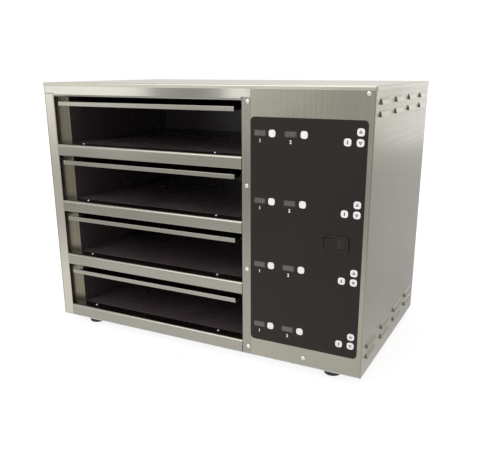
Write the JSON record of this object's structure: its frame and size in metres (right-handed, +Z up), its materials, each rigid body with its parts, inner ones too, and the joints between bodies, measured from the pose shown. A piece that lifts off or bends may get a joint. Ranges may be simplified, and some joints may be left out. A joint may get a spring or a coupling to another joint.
{
  "type": "heated holding bin",
  "caption": "Countertop heated holding bin with open pan bays one above the other, sliding pan covers, heated black plates and a timer control panel at the right.",
  "frame": {"origin": "centre of the footprint of the whole part, on the surface that the feet stand on", "axes": "+X to the right and +Y to the back as seen from the front, +Z up"},
  "size_m": [0.6248, 0.3748, 0.4685],
  "materials": {
    "stainless": "brushed",
    "galvanised_steel": "dull zinc",
    "black_coated_steel": "gloss coat",
    "silicone_rubber": "matte",
    "mineral_wool": "fibrous",
    "overlay_film": "satin print",
    "display_window": "smoked",
    "key_white": "satin",
    "black_plastic": "moulded",
    "circuit_board": "solder mask",
    "transformer_steel": "varnished",
    "wire_sleeve": "matte",
    "foot_rubber": "matte",
    "screw_steel": "bright"
  },
  "bodies": {
    "cabinet": {"base_pan": "galvanised_steel", "left_side_panel": "stainless", "right_side_panel": "stainless", "top_cover": "stainless", "back_panel": "stainless", "left_post": "stainless", "middle_post": "stainless", "header": "stainless", "bottom_band": "stainless", "shelf_1": "stainless", "shelf_2": "stainless", "shelf_3": "stainless", "left_bay_wall": "black_coated_steel", "right_bay_wall": "black_coated_steel", "back_bay_wall": "black_coated_steel", "lower_heat_plates": "black_coated_steel", "upper_heat_plates": "black_coated_steel", "heater_mats": "silicone_rubber", "insulation": "mineral_wool", "cover_rails": "black_coated_steel", "divider_wall": "galvanised_steel", "control_plate": "stainless", "control_overlay": "overlay_film", "display_windows": "display_window", "display_modules": "black_plastic", "timer_boards": "circuit_board", "key_switches": "black_plastic", "switch_housing": "black_plastic", "relay_board": "circuit_board", "relays": "black_plastic", "transformer": "transformer_steel", "wire_harness": "wire_sleeve", "cord_gland": "black_plastic", "feet": "foot_rubber", "screws": "screw_steel"},
    "pan_cover_1": {"pan_cover_1": "stainless"},
    "pan_cover_2": {"pan_cover_2": "stainless"},
    "pan_cover_3": {"pan_cover_3": "stainless"},
    "pan_cover_4": {"pan_cover_4": "stainless"},
    "timer_key_1a": {"timer_key_1a": "key_white"},
    "timer_key_1b": {"timer_key_1b": "key_white"},
    "up_key_1": {"up_key_1": "key_white"},
    "down_key_1": {"down_key_1": "key_white"},
    "select_key_1": {"select_key_1": "key_white"},
    "timer_key_2a": {"timer_key_2a": "key_white"},
    "timer_key_2b": {"timer_key_2b": "key_white"},
    "up_key_2": {"up_key_2": "key_white"},
    "down_key_2": {"down_key_2": "key_white"},
    "select_key_2": {"select_key_2": "key_white"},
    "timer_key_3a": {"timer_key_3a": "key_white"},
    "timer_key_3b": {"timer_key_3b": "key_white"},
    "up_key_3": {"up_key_3": "key_white"},
    "down_key_3": {"down_key_3": "key_white"},
    "select_key_3": {"select_key_3": "key_white"},
    "timer_key_4a": {"timer_key_4a": "key_white"},
    "timer_key_4b": {"timer_key_4b": "key_white"},
    "up_key_4": {"up_key_4": "key_white"},
    "down_key_4": {"down_key_4": "key_white"},
    "select_key_4": {"select_key_4": "key_white"},
    "switch_rocker": {"switch_rocker": "black_plastic"}
  },
  "joints": [
    {"name": "pan_cover_1_slide", "type": "slide", "parent": "cabinet", "child": "pan_cover_1", "axis": [0, -1, 0], "range_m": [0, 0.28]},
    {"name": "pan_cover_2_slide", "type": "slide", "parent": "cabinet", "child": "pan_cover_2", "axis": [0, -1, 0], "range_m": [0, 0.28]},
    {"name": "pan_cover_3_slide", "type": "slide", "parent": "cabinet", "child": "pan_cover_3", "axis": [0, -1, 0], "range_m": [0, 0.28]},
    {"name": "pan_cover_4_slide", "type": "slide", "parent": "cabinet", "child": "pan_cover_4", "axis": [0, -1, 0], "range_m": [0, 0.28]},
    {"name": "timer_key_1a_press", "type": "slide", "parent": "cabinet", "child": "timer_key_1a", "axis": [0, 1, 0], "range_m": [0, 0.0005], "stiffness_N_per_m": 1500},
    {"name": "timer_key_1b_press", "type": "slide", "parent": "cabinet", "child": "timer_key_1b", "axis": [0, 1, 0], "range_m": [0, 0.0005], "stiffness_N_per_m": 1500},
    {"name": "up_key_1_press", "type": "slide", "parent": "cabinet", "child": "up_key_1", "axis": [0, 1, 0], "range_m": [0, 0.0005], "stiffness_N_per_m": 1500},
    {"name": "down_key_1_press", "type": "slide", "parent": "cabinet", "child": "down_key_1", "axis": [0, 1, 0], "range_m": [0, 0.0005], "stiffness_N_per_m": 1500},
    {"name": "select_key_1_press", "type": "slide", "parent": "cabinet", "child": "select_key_1", "axis": [0, 1, 0], "range_m": [0, 0.0005], "stiffness_N_per_m": 1500},
    {"name": "timer_key_2a_press", "type": "slide", "parent": "cabinet", "child": "timer_key_2a", "axis": [0, 1, 0], "range_m": [0, 0.0005], "stiffness_N_per_m": 1500},
    {"name": "timer_key_2b_press", "type": "slide", "parent": "cabinet", "child": "timer_key_2b", "axis": [0, 1, 0], "range_m": [0, 0.0005], "stiffness_N_per_m": 1500},
    {"name": "up_key_2_press", "type": "slide", "parent": "cabinet", "child": "up_key_2", "axis": [0, 1, 0], "range_m": [0, 0.0005], "stiffness_N_per_m": 1500},
    {"name": "down_key_2_press", "type": "slide", "parent": "cabinet", "child": "down_key_2", "axis": [0, 1, 0], "range_m": [0, 0.0005], "stiffness_N_per_m": 1500},
    {"name": "select_key_2_press", "type": "slide", "parent": "cabinet", "child": "select_key_2", "axis": [0, 1, 0], "range_m": [0, 0.0005], "stiffness_N_per_m": 1500},
    {"name": "timer_key_3a_press", "type": "slide", "parent": "cabinet", "child": "timer_key_3a", "axis": [0, 1, 0], "range_m": [0, 0.0005], "stiffness_N_per_m": 1500},
    {"name": "timer_key_3b_press", "type": "slide", "parent": "cabinet", "child": "timer_key_3b", "axis": [0, 1, 0], "range_m": [0, 0.0005], "stiffness_N_per_m": 1500},
    {"name": "up_key_3_press", "type": "slide", "parent": "cabinet", "child": "up_key_3", "axis": [0, 1, 0], "range_m": [0, 0.0005], "stiffness_N_per_m": 1500},
    {"name": "down_key_3_press", "type": "slide", "parent": "cabinet", "child": "down_key_3", "axis": [0, 1, 0], "range_m": [0, 0.0005], "stiffness_N_per_m": 1500},
    {"name": "select_key_3_press", "type": "slide", "parent": "cabinet", "child": "select_key_3", "axis": [0, 1, 0], "range_m": [0, 0.0005], "stiffness_N_per_m": 1500},
    {"name": "timer_key_4a_press", "type": "slide", "parent": "cabinet", "child": "timer_key_4a", "axis": [0, 1, 0], "range_m": [0, 0.0005], "stiffness_N_per_m": 1500},
    {"name": "timer_key_4b_press", "type": "slide", "parent": "cabinet", "child": "timer_key_4b", "axis": [0, 1, 0], "range_m": [0, 0.0005], "stiffness_N_per_m": 1500},
    {"name": "up_key_4_press", "type": "slide", "parent": "cabinet", "child": "up_key_4", "axis": [0, 1, 0], "range_m": [0, 0.0005], "stiffness_N_per_m": 1500},
    {"name": "down_key_4_press", "type": "slide", "parent": "cabinet", "child": "down_key_4", "axis": [0, 1, 0], "range_m": [0, 0.0005], "stiffness_N_per_m": 1500},
    {"name": "select_key_4_press", "type": "slide", "parent": "cabinet", "child": "select_key_4", "axis": [0, 1, 0], "range_m": [0, 0.0005], "stiffness_N_per_m": 1500},
    {"name": "switch_rocker_tilt", "type": "hinge", "parent": "cabinet", "child": "switch_rocker", "pos_m": [0.25715, -0.1786, 0.2345], "axis": [0, 0, -1], "range_deg": [0, 16]}
  ]
}
